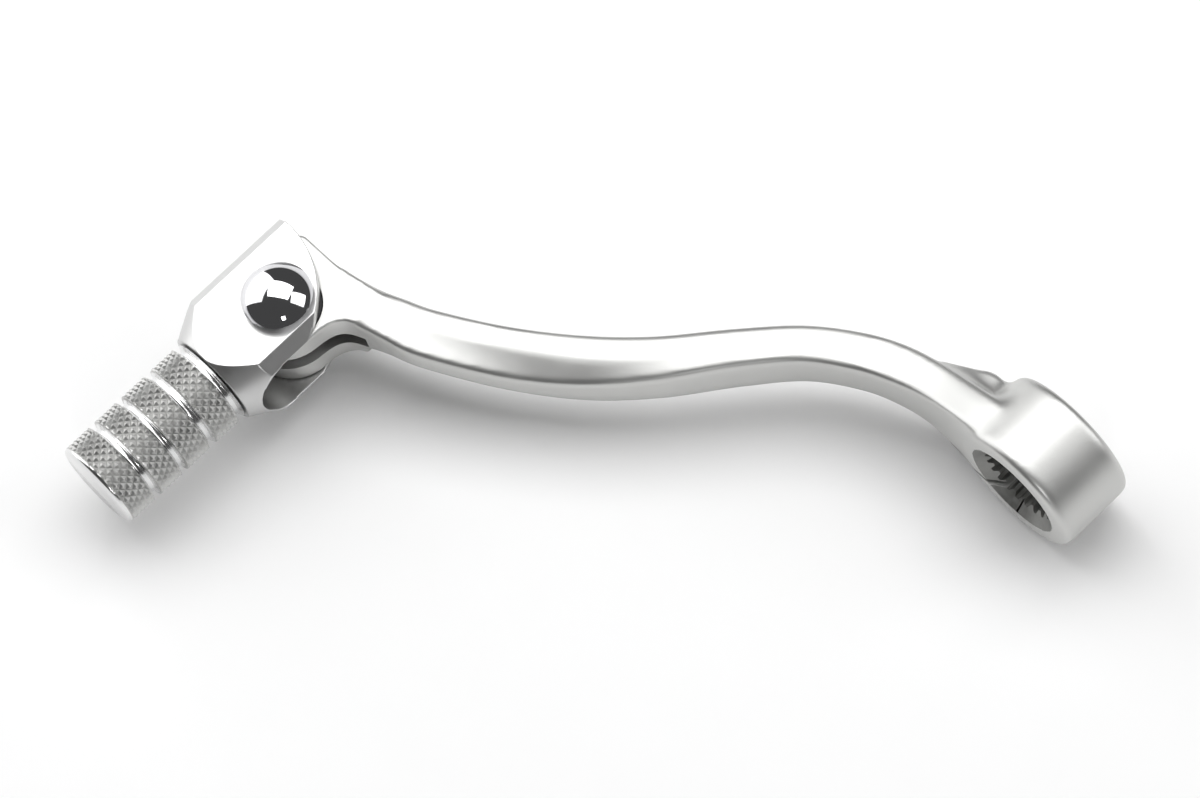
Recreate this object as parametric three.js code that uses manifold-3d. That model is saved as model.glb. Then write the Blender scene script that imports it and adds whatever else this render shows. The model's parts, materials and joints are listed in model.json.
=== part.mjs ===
// Folding-tip gear shift lever for a motorcycle, in millimetres, +Z up.
//
// Origin: centre of the splined hub bore. +Y runs along the bore, out from the
// engine; +X runs forward towards the tip. The toe peg is parallel to the bore,
// and the tip folds rearward about a vertical pivot pin against a torsion spring.
import * as THREE from 'three';
import { mergeVertices } from 'three/addons/utils/BufferGeometryUtils.js';
import Module from 'manifold-3d';

const wasm = await Module();
wasm.setup();

// ---- Driving dimensions -------------------------------------------------

// Hub that clamps on the gearbox's shift shaft.
const HUB_RADIUS = 11.6;
const HUB_HALF_LENGTH = 6.6;
const HUB_EDGE = 1.0;
const BORE_RADIUS = 7.0;
const SPLINE_DEPTH = 0.55;
const SPLINE_TEETH = 22;
const BORE_CHAMFER = 1.3;

// Pinch clamp between the hub and the arm.
const CLAMP_X = 13.2;
const CLAMP_Y = -0.2;
const CLAMP_BOSS_RADIUS = 4.4;
const CLAMP_BOSS_TOP = 4.6;
const CLAMP_BOSS_BOTTOM = -9.2;
const CLAMP_BOLT_RADIUS = 3.0;
const CLAMP_BOLT_CLEARANCE = 0.25;
const CLAMP_WASHER_RADIUS = 5.4;
const CLAMP_HEAD_ROOM = 6.0;
const CLAMP_HOLE_TOP = 2.9;
const CLAMP_SLIT_LOW = -6.2;
const CLAMP_SLIT_HIGH = -5.4;
const CLAMP_SLIT_START = 3.2;
const CLAMP_SLIT_END = 24.0;
const HEX_HEAD_HEIGHT = 2.9;
const HEX_HEAD_RADIUS = 4.62;
const WASHER_THICKNESS = 0.7;

// Tip pivot.
const PIVOT_X = 103;
const PIVOT_Y = 62.1;
const PIN_RADIUS = 3.5;
const PIN_HEAD_RADIUS = 5.7;
const PIN_HEAD_UNDERCUT = 1.0;
const PIN_HEAD_RIM = 1.4;
const PIN_DOME_RISE = 3.1;
const PIN_THREAD_RADIUS = 2.15;
const PIN_THREAD_TOP = 0.2;
const PIN_DRILL_TOP = 1.0;
const PIN_END_INSET = 0.2;
const PIVOT_SCREW_RADIUS = 2.0;
const PIVOT_SCREW_TOP = -1.2;
const PIVOT_SCREW_HEAD_RADIUS = 4.6;
const PIVOT_SCREW_HEAD_HEIGHT = 2.2;
const PIVOT_WASHER_RADIUS = 5.2;
const HEX_KEY_RADIUS = 1.73;
const RUNNING_GAP = 0.1;
const SEAT_GAP = 0.1;
const BUSH_RADIUS = 4.7;
const TONGUE_RADIUS = 7.4;
const TONGUE_HALF = 5.6;
const TONGUE_INNER_SIDE = -10.6;
const SPRING_SLOT_HALF = 1.6;
const SPRING_SLOT_RADIUS = 12.4;
const SPRING_SLOT_X = PIVOT_X - 3.5;
const SPRING_SLOT_Y = PIVOT_Y + 3.2;
const SLEEVE_RADIUS = 4.4;
const SEAL_RADIUS = 6.4;
const SEAL_RECESS_RADIUS = 6.55;
const SEAL_RECESS = 1.0;
const SEAL_THICKNESS = 0.9;
const SEAL_STANDS_PROUD = 0.05;

// Torsion spring around the sleeve.
const COIL_RADIUS = 5.3;
const WIRE_RADIUS = 0.45;
const COIL_HALF_RISE = 1.05;
const COIL_START = -66;
const COIL_END = 708;
const COIL_STEPS = 40;
const ARM_LEG = 8.4;
const KNUCKLE_LEG = 9.0;

// Knuckle that carries the toe peg.
const KNUCKLE_HALF = 8.0;
const KNUCKLE_SLOT_HALF = 5.9;
const KNUCKLE_HALF_WIDTH = 9.5;
const KNUCKLE_FLAT_HALF_WIDTH = 7.4;
const KNUCKLE_INNER_END = -9.8;
const KNUCKLE_OUTER_END = 14.7;
const KNUCKLE_END_RADIUS = 8.0;
const KNUCKLE_BAR_RADIUS = 11.4;
const KNUCKLE_CONE_LENGTH = 6.0;
const STOP_WALL = TONGUE_RADIUS + 0.3;
const SLOT_ROUND_CENTRE = 6.4;
// Rounded inner corner of the knuckle, from above, measured from the pivot.
const CORNER_X = 8.5;
const CORNER_Y = 7.7;
const CORNER_RADIUS = CORNER_Y - KNUCKLE_INNER_END;

// Knurled toe peg.
const PEG_OFFSET = 1.6;
const PEG_RADIUS = 7.55;
const PEG_GROOVE_RADIUS = 6.4;
const PEG_BANDS = [[1.75, 6.35], [7.7, 12.35], [13.7, 18.0], [19.4, 24.0]];
const PEG_LENGTH = 24.7;
const PEG_GAP = 0.3;
const PEG_SCREW_RADIUS = 2.5;
const PEG_SCREW_HEAD_RADIUS = 3.9;
const PEG_SCREW_HEAD_HEIGHT = 2.2;
const PEG_SCREW_LENGTH = 15;
const PEG_SCREW_SEAT = 12.4;
const PEG_WASHER_THICKNESS = 0.8;
const PEG_HOLE_DEPTH = 14;
const SOCKET_FLOOR = 0.7;

// How far cutting tools run past the metal they cut.
const BEYOND = 20;

// Stations of the forged arm: place, width across, half-height of the inner edge,
// and heights above and below the middle of the outer edge, which thins to a wedge
// where the arm runs in under the knuckle.
const ARM_STATIONS = [
  { x: 2.0, y: 2.8, width: 7.4, inner: 10.9, outer: 10.4, under: 10.4 },
  { x: 9.5, y: 2.7, width: 7.0, inner: 9.3, outer: 8.9, under: 8.9 },
  { x: 18.6, y: 2.9, width: 6.6, inner: 6.1, outer: 5.7, under: 5.7 },
  { x: 25.8, y: 4.3, width: 6.9, inner: 4.9, outer: 4.5, under: 4.5 },
  { x: 32.2, y: 7.0, width: 6.8, inner: 4.5, outer: 4.2, under: 4.2 },
  { x: 39.5, y: 11.9, width: 6.6, inner: 4.4, outer: 4.2, under: 4.2 },
  { x: 46.8, y: 19.6, width: 6.9, inner: 4.5, outer: 4.3, under: 4.3 },
  { x: 54.6, y: 28.8, width: 7.6, inner: 4.5, outer: 4.2, under: 4.2 },
  { x: 63.0, y: 36.6, width: 8.2, inner: 4.5, outer: 3.9, under: 3.9 },
  { x: 72.8, y: 43.6, width: 8.4, inner: 4.6, outer: 3.6, under: 2.6 },
  { x: 83.3, y: 49.5, width: 8.4, inner: 4.9, outer: 4.1, under: 0.9 },
  { x: 88.5, y: 51.5, width: 8.0, inner: 5.25, outer: 4.8, under: 1.0 },
  { x: 92.6, y: 52.9, width: 7.6, inner: 5.5, outer: 5.35, under: 3.0 },
  { x: 96.2, y: 54.1, width: 8.2, inner: 5.55, outer: 5.55, under: 5.4 },
  { x: 99.4, y: 55.3, width: 9.6, inner: 5.55, outer: 5.55, under: 5.5 },
];
const ARM_STEPS = 48;
const ARM_CROWN = 0.05;

// Facets round a turned piece.
const DRUM_ROUND = 56;
const ROUND = 48;
const SMALL_ROUND = 28;

// ---- Materials ----------------------------------------------------------

function metal(colour, roughness, metalness) {
  return new THREE.MeshStandardMaterial({ color: colour, roughness, metalness });
}

const FORGED = metal(0xc9cac8, 0.42, 0.9);
const MACHINED = metal(0xd4d5d4, 0.32, 0.95);
const CHROME = metal(0xb9bcc0, 0.08, 1.0);
const STEEL = metal(0xa7a9ab, 0.35, 1.0);
const BRONZE = metal(0xb08a4a, 0.4, 0.9);
const RUBBER = metal(0x1b1b1c, 0.85, 0.0);

// ---- Solids -------------------------------------------------------------

// A closed manifold solid from any closed three.js geometry, facing out.
function solid(source) {
  const bare = source.clone();
  bare.deleteAttribute('normal');
  bare.deleteAttribute('uv');
  const merged = mergeVertices(bare, 1e-4);
  const place = merged.attributes.position.array;
  const faces = [];
  let volume = 0;
  const corner = [new THREE.Vector3(), new THREE.Vector3(), new THREE.Vector3()];
  for (let i = 0; i < merged.index.count; i += 3) {
    const triangle = [0, 1, 2].map((k) => merged.index.getX(i + k));
    if (new Set(triangle).size < 3) continue;
    triangle.forEach((v, k) => corner[k].fromArray(place, 3 * v));
    volume += corner[0].dot(corner[1].cross(corner[2]));
    faces.push(triangle);
  }
  if (volume < 0) faces.forEach((triangle) => triangle.reverse());
  return new wasm.Manifold(new wasm.Mesh({
    numProp: 3,
    vertProperties: new Float32Array(place),
    triVerts: new Uint32Array(faces.flat()),
  }));
}

function geometry(body) {
  const mesh = body.getMesh();
  const result = new THREE.BufferGeometry();
  result.setAttribute('position', new THREE.BufferAttribute(new Float32Array(mesh.vertProperties), 3));
  result.setIndex(new THREE.BufferAttribute(new Uint32Array(mesh.triVerts), 1));
  result.computeVertexNormals();
  return result;
}

// A turned solid; the profile is [radius, station] pairs from axis to axis.
function turned(profile, axis, x, y, z, sides = ROUND) {
  const lathe = new THREE.LatheGeometry(profile.map(([r, s]) => new THREE.Vector2(r, s)), sides);
  if (axis === 'z') lathe.rotateX(Math.PI / 2);
  lathe.translate(x, y, z);
  return solid(lathe);
}

function rod(radius, low, high, axis, x, y, z, sides = ROUND) {
  return turned([[0, low], [radius, low], [radius, high], [0, high]], axis, x, y, z, sides);
}

function outline(points) {
  return new THREE.Shape(points.map(([x, y]) => new THREE.Vector2(x, y)));
}

// A flat outline in X and Y, raised from z = low to z = high.
function plate(shape, low, high) {
  const raised = new THREE.ExtrudeGeometry(shape, { depth: high - low, bevelEnabled: false });
  raised.translate(0, 0, low);
  return solid(raised);
}

// A flat outline in X and Z, run from y = low to y = high.
function bar(shape, low, high) {
  const run = new THREE.ExtrudeGeometry(shape, { depth: high - low, bevelEnabled: false });
  run.rotateX(Math.PI / 2);
  run.translate(0, high, 0);
  return solid(run);
}

function block(x0, x1, y0, y1, z0, z1) {
  const box = new THREE.BoxGeometry(x1 - x0, y1 - y0, z1 - z0);
  box.translate((x0 + x1) / 2, (y0 + y1) / 2, (z0 + z1) / 2);
  return solid(box);
}

function part(name, body, material) {
  const mesh = new THREE.Mesh(geometry(body), material);
  mesh.name = name;
  return mesh;
}

function arc(x, y, radius, from, to, steps) {
  const points = [];
  for (let i = 0; i <= steps; i += 1) {
    const angle = THREE.MathUtils.degToRad(from + ((to - from) * i) / steps);
    points.push([x + radius * Math.cos(angle), y + radius * Math.sin(angle)]);
  }
  return points;
}

// ---- Lever arm ----------------------------------------------------------

// Upper half of the arm's section as [offset towards the outer side, height].
function sectionTop(width, inner, outer) {
  const half = width / 2;
  const middle = (inner + outer) / 2 + ARM_CROWN;
  return [
    [half, 0],
    [half - 0.1, outer * 0.55],
    [half - 0.4, outer * 0.9],
    [half - 1.1, outer + 0.04 * (inner - outer)],
    [0, middle],
    [-half + 1.9, inner - 0.05],
    [-half + 0.9, inner - 0.35],
    [-half + 0.25, inner - 1.1],
    [-half, inner * 0.45],
  ];
}

function armBar() {
  const route = new THREE.CatmullRomCurve3(ARM_STATIONS.map((s) => new THREE.Vector3(s.x, s.y, 0)));
  const sizes = new THREE.CatmullRomCurve3(
    ARM_STATIONS.map((s) => new THREE.Vector3(s.width, s.inner, s.outer)),
  );
  const lows = new THREE.CatmullRomCurve3(ARM_STATIONS.map((s) => new THREE.Vector3(s.under, 0, 0)));
  const rings = [];
  for (let i = 0; i <= ARM_STEPS; i += 1) {
    const t = i / ARM_STEPS;
    const at = route.getPoint(t);
    const along = route.getTangent(t);
    const size = sizes.getPoint(t);
    const top = sectionTop(size.x, size.y, size.z);
    const bottom = sectionTop(size.x, size.y, lows.getPoint(t).x).slice(1).reverse().map(([p, z]) => [p, -z]);
    rings.push([...top, ...bottom].map(([p, z]) => [at.x - along.y * p, at.y + along.x * p, z]));
  }
  return solid(skin(rings));
}

// A closed surface through rings of points, with flat ends.
function skin(rings) {
  const count = rings[0].length;
  const places = rings.flat(2);
  const faces = [];
  for (let i = 0; i + 1 < rings.length; i += 1) {
    for (let k = 0; k < count; k += 1) {
      const next = (k + 1) % count;
      const a = i * count + k;
      const b = i * count + next;
      faces.push(a, b, a + count, b, b + count, a + count);
    }
  }
  const last = (rings.length - 1) * count;
  for (let k = 1; k + 1 < count; k += 1) {
    faces.push(0, k + 1, k);
    faces.push(last, last + k, last + k + 1);
  }
  const surface = new THREE.BufferGeometry();
  surface.setAttribute('position', new THREE.Float32BufferAttribute(places, 3));
  surface.setIndex(faces);
  return surface;
}

function hubDrum() {
  const end = HUB_HALF_LENGTH;
  return turned([
    [0, -end],
    [HUB_RADIUS - HUB_EDGE, -end],
    [HUB_RADIUS - 0.3 * HUB_EDGE, -end + 0.3 * HUB_EDGE],
    [HUB_RADIUS, -end + HUB_EDGE],
    [HUB_RADIUS, end - HUB_EDGE],
    [HUB_RADIUS - 0.3 * HUB_EDGE, end - 0.3 * HUB_EDGE],
    [HUB_RADIUS - HUB_EDGE, end],
    [0, end],
  ], 'y', 0, 0, 0, DRUM_ROUND);
}

// Splined hole for the shift shaft, with a lead-in at both mouths.
function hubBore() {
  const teeth = [];
  for (let i = 0; i < SPLINE_TEETH; i += 1) {
    const pitch = (2 * Math.PI) / SPLINE_TEETH;
    const levels = [[0, 0], [0.3, 0], [0.5, SPLINE_DEPTH], [0.8, SPLINE_DEPTH]];
    levels.forEach(([share, depth]) => {
      const angle = (i + share) * pitch;
      teeth.push([(BORE_RADIUS - depth) * Math.cos(angle), (BORE_RADIUS - depth) * Math.sin(angle)]);
    });
  }
  const end = HUB_HALF_LENGTH + 1;
  const mouth = BORE_RADIUS + BORE_CHAMFER;
  const floor = BORE_RADIUS - 1;
  let hole = bar(outline(teeth), -end, end);
  [-1, 1].forEach((side) => {
    const profile = [
      [0, side * (HUB_HALF_LENGTH - BORE_CHAMFER - 1)],
      [floor, side * (HUB_HALF_LENGTH - BORE_CHAMFER - 1)],
      [mouth, side * HUB_HALF_LENGTH],
      [mouth, side * end],
      [0, side * end],
    ];
    hole = hole.add(turned(profile, 'y', 0, 0, 0, DRUM_ROUND));
  });
  return hole;
}

// Boss for the pinch bolt, low on the inner side of the neck.
function clampBoss() {
  const round = turned([
    [0, CLAMP_BOSS_BOTTOM],
    [CLAMP_BOSS_RADIUS, CLAMP_BOSS_BOTTOM],
    [CLAMP_BOSS_RADIUS, CLAMP_BOSS_TOP - 1.6],
    [CLAMP_BOSS_RADIUS - 0.5, CLAMP_BOSS_TOP - 0.7],
    [CLAMP_BOSS_RADIUS - 1.7, CLAMP_BOSS_TOP - 0.1],
    [0, CLAMP_BOSS_TOP],
  ], 'z', CLAMP_X, CLAMP_Y, 0, 36);
  const web = plate(outline([
    [CLAMP_X - 5.5, CLAMP_Y - CLAMP_BOSS_RADIUS],
    [CLAMP_X + 0.9, CLAMP_Y - CLAMP_BOSS_RADIUS + 0.05],
    [CLAMP_X + 8.4, CLAMP_Y - 0.4],
    [CLAMP_X + 8.4, CLAMP_Y + 3],
    [CLAMP_X - 5.5, CLAMP_Y + 3],
  ]), CLAMP_BOSS_BOTTOM + 0.8, CLAMP_BOSS_TOP - 0.9);
  return round.add(web);
}

// Slit from the bore out through the underside of the neck, crossed by the bolt's hole.
function clampCuts() {
  const slit = block(CLAMP_SLIT_START, CLAMP_SLIT_END, -BEYOND, BEYOND, CLAMP_SLIT_LOW, CLAMP_SLIT_HIGH);
  const hole = rod(CLAMP_BOLT_RADIUS + RUNNING_GAP, -BEYOND, CLAMP_HOLE_TOP, 'z', CLAMP_X, CLAMP_Y, 0);
  const headRoom = rod(CLAMP_HEAD_ROOM, -BEYOND, CLAMP_BOSS_BOTTOM, 'z', CLAMP_X, CLAMP_Y, 0);
  return slit.add(hole).add(headRoom);
}

// Tongue that turns between the knuckle's plates. Its straight inner side ends
// in a lug, which rests on the knuckle's stop wall when the tip is out.
function tongue() {
  const r = TONGUE_RADIUS;
  const side = TONGUE_INNER_SIDE;
  const points = [
    ...arc(0, 0, r, 0, 184, 22),
    [-7.6, -2.4],
    [-8.4, -4.1],
    [-9.3, -5.1],
    [-10.6, -5.8],
    [-10.6, -12.0],
    [-6.2, -11.5],
    [-4.0, -11.1],
    [-0.5, side],
    [r - 1.2, side],
    [r - 0.35, side + 0.35],
    [r, side + 1.2],
  ];
  return plate(outline(points.map(([x, y]) => [x + PIVOT_X, y + PIVOT_Y])), -TONGUE_HALF, TONGUE_HALF);
}

function tongueCuts() {
  const half = SPRING_SLOT_HALF;
  const pocket = rod(SPRING_SLOT_RADIUS, -half, half, 'z', SPRING_SLOT_X, SPRING_SLOT_Y, 0, 64);
  const bushHole = rod(BUSH_RADIUS + SEAT_GAP, -BEYOND, BEYOND, 'z', PIVOT_X, PIVOT_Y, 0);
  const floor = TONGUE_HALF - SEAL_RECESS;
  const above = rod(SEAL_RECESS_RADIUS, floor, BEYOND, 'z', PIVOT_X, PIVOT_Y, 0);
  const below = rod(SEAL_RECESS_RADIUS, -BEYOND, -floor, 'z', PIVOT_X, PIVOT_Y, 0);
  return pocket.add(bushHole).add(above).add(below);
}

function leverArm() {
  return armBar().add(hubDrum()).add(clampBoss()).add(tongue())
    .subtract(hubBore())
    .subtract(clampCuts())
    .subtract(tongueCuts());
}

// ---- Clamp fasteners ----------------------------------------------------

function clampWasher() {
  const top = CLAMP_BOSS_BOTTOM - SEAT_GAP;
  const disc = rod(CLAMP_WASHER_RADIUS, top - WASHER_THICKNESS, top, 'z', CLAMP_X, CLAMP_Y, 0, 36);
  const hole = rod(CLAMP_BOLT_RADIUS + CLAMP_BOLT_CLEARANCE, -BEYOND, BEYOND, 'z', CLAMP_X, CLAMP_Y, 0, 36);
  return disc.subtract(hole);
}

function clampBolt() {
  const seat = CLAMP_BOSS_BOTTOM - WASHER_THICKNESS - 2 * SEAT_GAP;
  const hexagon = outline(arc(CLAMP_X, CLAMP_Y, HEX_HEAD_RADIUS, 0, 300, 5));
  const head = plate(hexagon, seat - HEX_HEAD_HEIGHT, seat);
  const shank = rod(CLAMP_BOLT_RADIUS, seat - 1, CLAMP_HOLE_TOP - 0.4, 'z', CLAMP_X, CLAMP_Y, 0);
  return head.add(shank);
}

// ---- Pivot --------------------------------------------------------------

function pivotBush(side) {
  const inside = SPRING_SLOT_HALF + SEAT_GAP;
  const outside = TONGUE_HALF - SEAT_GAP;
  const low = side > 0 ? inside : -outside;
  const sleeve = rod(BUSH_RADIUS, low, low + outside - inside, 'z', PIVOT_X, PIVOT_Y, 0);
  return sleeve.subtract(rod(PIN_RADIUS + RUNNING_GAP, -BEYOND, BEYOND, 'z', PIVOT_X, PIVOT_Y, 0));
}

function dustSeal(side) {
  const inner = BUSH_RADIUS + 2 * SEAT_GAP;
  const outside = TONGUE_HALF + SEAL_STANDS_PROUD;
  const low = side > 0 ? outside - SEAL_THICKNESS : -outside;
  const ring = rod(SEAL_RADIUS, low, low + SEAL_THICKNESS, 'z', PIVOT_X, PIVOT_Y, 0);
  return ring.subtract(rod(inner, -BEYOND, BEYOND, 'z', PIVOT_X, PIVOT_Y, 0));
}

function springSleeve() {
  const half = SPRING_SLOT_HALF - SEAT_GAP;
  const tube = rod(SLEEVE_RADIUS, -half, half, 'z', PIVOT_X, PIVOT_Y, 0);
  return tube.subtract(rod(PIN_RADIUS + RUNNING_GAP, -BEYOND, BEYOND, 'z', PIVOT_X, PIVOT_Y, 0));
}

// Coil with one leg on the arm's pocket wall and one on the knuckle's stop wall.
function torsionSpring() {
  const points = [];
  for (let i = 0; i <= COIL_STEPS; i += 1) {
    const share = i / COIL_STEPS;
    const angle = THREE.MathUtils.degToRad(COIL_START + (COIL_END - COIL_START) * share);
    points.push(new THREE.Vector3(
      PIVOT_X + COIL_RADIUS * Math.cos(angle),
      PIVOT_Y + COIL_RADIUS * Math.sin(angle),
      COIL_HALF_RISE * (2 * share - 1),
    ));
  }
  const start = THREE.MathUtils.degToRad(COIL_START);
  const end = THREE.MathUtils.degToRad(COIL_END);
  const legIn = new THREE.Vector3(Math.sin(start), -Math.cos(start), 0);
  const legOut = new THREE.Vector3(-Math.sin(end), Math.cos(end), 0);
  const first = points[0].clone();
  const last = points[points.length - 1].clone();
  points.unshift(first.clone().addScaledVector(legIn, ARM_LEG / 2));
  points.unshift(first.clone().addScaledVector(legIn, ARM_LEG));
  points.push(last.clone().addScaledVector(legOut, KNUCKLE_LEG / 2));
  points.push(last.clone().addScaledVector(legOut, KNUCKLE_LEG));
  const wire = new THREE.ExtrudeGeometry(outline(arc(0, 0, WIRE_RADIUS, 0, 315, 7)), {
    steps: 96,
    extrudePath: new THREE.CatmullRomCurve3(points),
  });
  return solid(wire);
}

// Domed pin, drilled from below for the screw that keeps it in. The head is a shallow
// part of a ball, undercut so that it touches the knuckle on a smaller ring.
function pivotPin() {
  const seat = KNUCKLE_HALF + SEAT_GAP;
  const rim = seat + PIN_HEAD_RIM;
  const low = -KNUCKLE_HALF + PIN_END_INSET;
  const ball = (PIN_HEAD_RADIUS ** 2 + PIN_DOME_RISE ** 2) / (2 * PIN_DOME_RISE);
  const steepest = Math.asin(PIN_HEAD_RADIUS / ball);
  const steps = 9;
  const dome = [];
  for (let i = 0; i < steps; i += 1) {
    const angle = steepest * (1 - i / steps);
    dome.push([ball * Math.sin(angle), rim + PIN_DOME_RISE - ball * (1 - Math.cos(angle))]);
  }
  return turned([
    [0, PIN_DRILL_TOP],
    [PIN_THREAD_RADIUS, PIN_THREAD_TOP],
    [PIN_THREAD_RADIUS, low],
    [PIN_RADIUS, low],
    [PIN_RADIUS, seat],
    [PIN_HEAD_RADIUS - PIN_HEAD_UNDERCUT, seat],
    ...dome,
    [0, rim + PIN_DOME_RISE],
  ], 'z', PIVOT_X, PIVOT_Y, 0);
}

function pivotWasher() {
  const top = -KNUCKLE_HALF - SEAT_GAP;
  const disc = rod(PIVOT_WASHER_RADIUS, top - WASHER_THICKNESS, top, 'z', PIVOT_X, PIVOT_Y, 0);
  return disc.subtract(rod(PIVOT_SCREW_RADIUS + 3 * SEAT_GAP, -BEYOND, BEYOND, 'z', PIVOT_X, PIVOT_Y, 0));
}

function pivotScrew() {
  const seat = -KNUCKLE_HALF - WASHER_THICKNESS - 2 * SEAT_GAP;
  const screw = turned([
    [0, seat - PIVOT_SCREW_HEAD_HEIGHT],
    [PIVOT_SCREW_HEAD_RADIUS - 2.0, seat - PIVOT_SCREW_HEAD_HEIGHT + 0.1],
    [PIVOT_SCREW_HEAD_RADIUS - 0.6, seat - PIVOT_SCREW_HEAD_HEIGHT + 0.8],
    [PIVOT_SCREW_HEAD_RADIUS, seat - PIVOT_SCREW_HEAD_HEIGHT + 1.6],
    [PIVOT_SCREW_HEAD_RADIUS, seat],
    [PIVOT_SCREW_RADIUS, seat],
    [PIVOT_SCREW_RADIUS, PIVOT_SCREW_TOP],
    [0, PIVOT_SCREW_TOP],
  ], 'z', PIVOT_X, PIVOT_Y, 0);
  const hexagon = outline(arc(PIVOT_X, PIVOT_Y, HEX_KEY_RADIUS, 0, 300, 5));
  const socket = plate(hexagon, -BEYOND, seat - SOCKET_FLOOR);
  return screw.subtract(socket);
}

// ---- Tip ----------------------------------------------------------------

const PEG_X = PIVOT_X + PEG_OFFSET;

function tipKnuckle() {
  const w = KNUCKLE_HALF_WIDTH;
  const f = KNUCKLE_FLAT_HALF_WIDTH;
  const h = KNUCKLE_HALF;
  const c = h - (w - f);
  const section = [[w, -c], [w, c], [f, h], [-f, h], [-w, c], [-w, -c], [-f, -h], [f, -h]];
  const stock = bar(
    outline(section.map(([x, z]) => [x + PEG_X, z])), PIVOT_Y - BEYOND, PIVOT_Y + KNUCKLE_OUTER_END,
  );
  const cone = turned([
    [0, -BEYOND],
    [KNUCKLE_BAR_RADIUS, -BEYOND],
    [KNUCKLE_BAR_RADIUS, KNUCKLE_OUTER_END - KNUCKLE_CONE_LENGTH],
    [KNUCKLE_END_RADIUS, KNUCKLE_OUTER_END],
    [0, KNUCKLE_OUTER_END],
  ], 'y', PEG_X, PIVOT_Y, 0, 64);
  const left = PEG_OFFSET - w - 1;
  const right = PEG_OFFSET + w + 1;
  const plan = plate(outline([
    [right, KNUCKLE_INNER_END],
    [right, BEYOND],
    [left, BEYOND],
    ...arc(CORNER_X, CORNER_Y, CORNER_RADIUS, 187, 270, 22),
  ].map(([x, y]) => [x + PIVOT_X, y + PIVOT_Y])), -BEYOND, BEYOND);
  return stock.intersect(cone).intersect(plan).subtract(knuckleCuts());
}

// Slot milled from the rear side as far as the stop wall, round at its outer end.
function knuckleCuts() {
  const s = KNUCKLE_SLOT_HALF;
  const profile = [[-BEYOND, -s], ...arc(SLOT_ROUND_CENTRE, 0, s, -90, 90, 20), [-BEYOND, s]];
  const run = new THREE.ExtrudeGeometry(outline(profile), { depth: 2 * BEYOND, bevelEnabled: false });
  run.rotateX(Math.PI / 2);
  run.rotateZ(Math.PI / 2);
  run.translate(PIVOT_X + STOP_WALL - 2 * BEYOND, PIVOT_Y, 0);
  const slot = solid(run);
  const pinHole = rod(PIN_RADIUS + RUNNING_GAP, -BEYOND, BEYOND, 'z', PIVOT_X, PIVOT_Y, 0);
  const inSlot = SLOT_ROUND_CENTRE;
  const screwHole = rod(PEG_SCREW_RADIUS + 0.3, inSlot, BEYOND, 'y', PEG_X, PIVOT_Y, 0, SMALL_ROUND);
  const seat = rod(PEG_SCREW_HEAD_RADIUS + 0.5, inSlot, PEG_SCREW_SEAT, 'y', PEG_X, PIVOT_Y, 0, 36);
  return slot.add(pinHole).add(screwHole).add(seat);
}

function toePeg() {
  const base = PIVOT_Y + KNUCKLE_OUTER_END;
  const lastBandEnd = PEG_BANDS[PEG_BANDS.length - 1][1];
  const profile = [[0, PEG_GAP], [PEG_GROOVE_RADIUS + 0.4, PEG_GAP]];
  PEG_BANDS.forEach(([from, to]) => {
    profile.push([PEG_GROOVE_RADIUS, from - 0.55]);
    profile.push([PEG_GROOVE_RADIUS + 0.35, from - 0.2]);
    profile.push([PEG_RADIUS, from]);
    profile.push([PEG_RADIUS, to]);
    if (to < lastBandEnd) {
      profile.push([PEG_GROOVE_RADIUS + 0.35, to + 0.2]);
      profile.push([PEG_GROOVE_RADIUS, to + 0.55]);
    }
  });
  profile.push([PEG_RADIUS - 0.3, PEG_LENGTH - 0.35], [PEG_RADIUS - 1.0, PEG_LENGTH], [0, PEG_LENGTH]);
  const peg = turned(profile, 'y', PEG_X, base, 0);
  const thread = PEG_SCREW_RADIUS + RUNNING_GAP;
  return peg.subtract(rod(thread, -1, PEG_HOLE_DEPTH, 'y', PEG_X, base, 0, SMALL_ROUND));
}

function pegWasher() {
  const high = PEG_SCREW_SEAT - SEAT_GAP;
  const disc = rod(PEG_SCREW_HEAD_RADIUS, high - PEG_WASHER_THICKNESS, high, 'y', PEG_X, PIVOT_Y, 0, 36);
  return disc.subtract(rod(PEG_SCREW_RADIUS + 0.15, 0, BEYOND, 'y', PEG_X, PIVOT_Y, 0, SMALL_ROUND));
}

function pegScrew() {
  const seat = PEG_SCREW_SEAT - PEG_WASHER_THICKNESS - 2 * SEAT_GAP;
  const top = seat - PEG_SCREW_HEAD_HEIGHT;
  const screw = turned([
    [0, top],
    [PEG_SCREW_HEAD_RADIUS - 0.4, top],
    [PEG_SCREW_HEAD_RADIUS, top + 0.4],
    [PEG_SCREW_HEAD_RADIUS, seat],
    [PEG_SCREW_RADIUS, seat],
    [PEG_SCREW_RADIUS, seat + PEG_SCREW_LENGTH],
    [0, seat + PEG_SCREW_LENGTH],
  ], 'y', PEG_X, PIVOT_Y, 0, SMALL_ROUND);
  const hexagon = outline(arc(PEG_X, 0, HEX_KEY_RADIUS, 0, 300, 5));
  const socket = bar(hexagon, PIVOT_Y + top - 1, PIVOT_Y + seat - SOCKET_FLOOR);
  return screw.subtract(socket);
}

// ---- Assembly -----------------------------------------------------------

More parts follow.
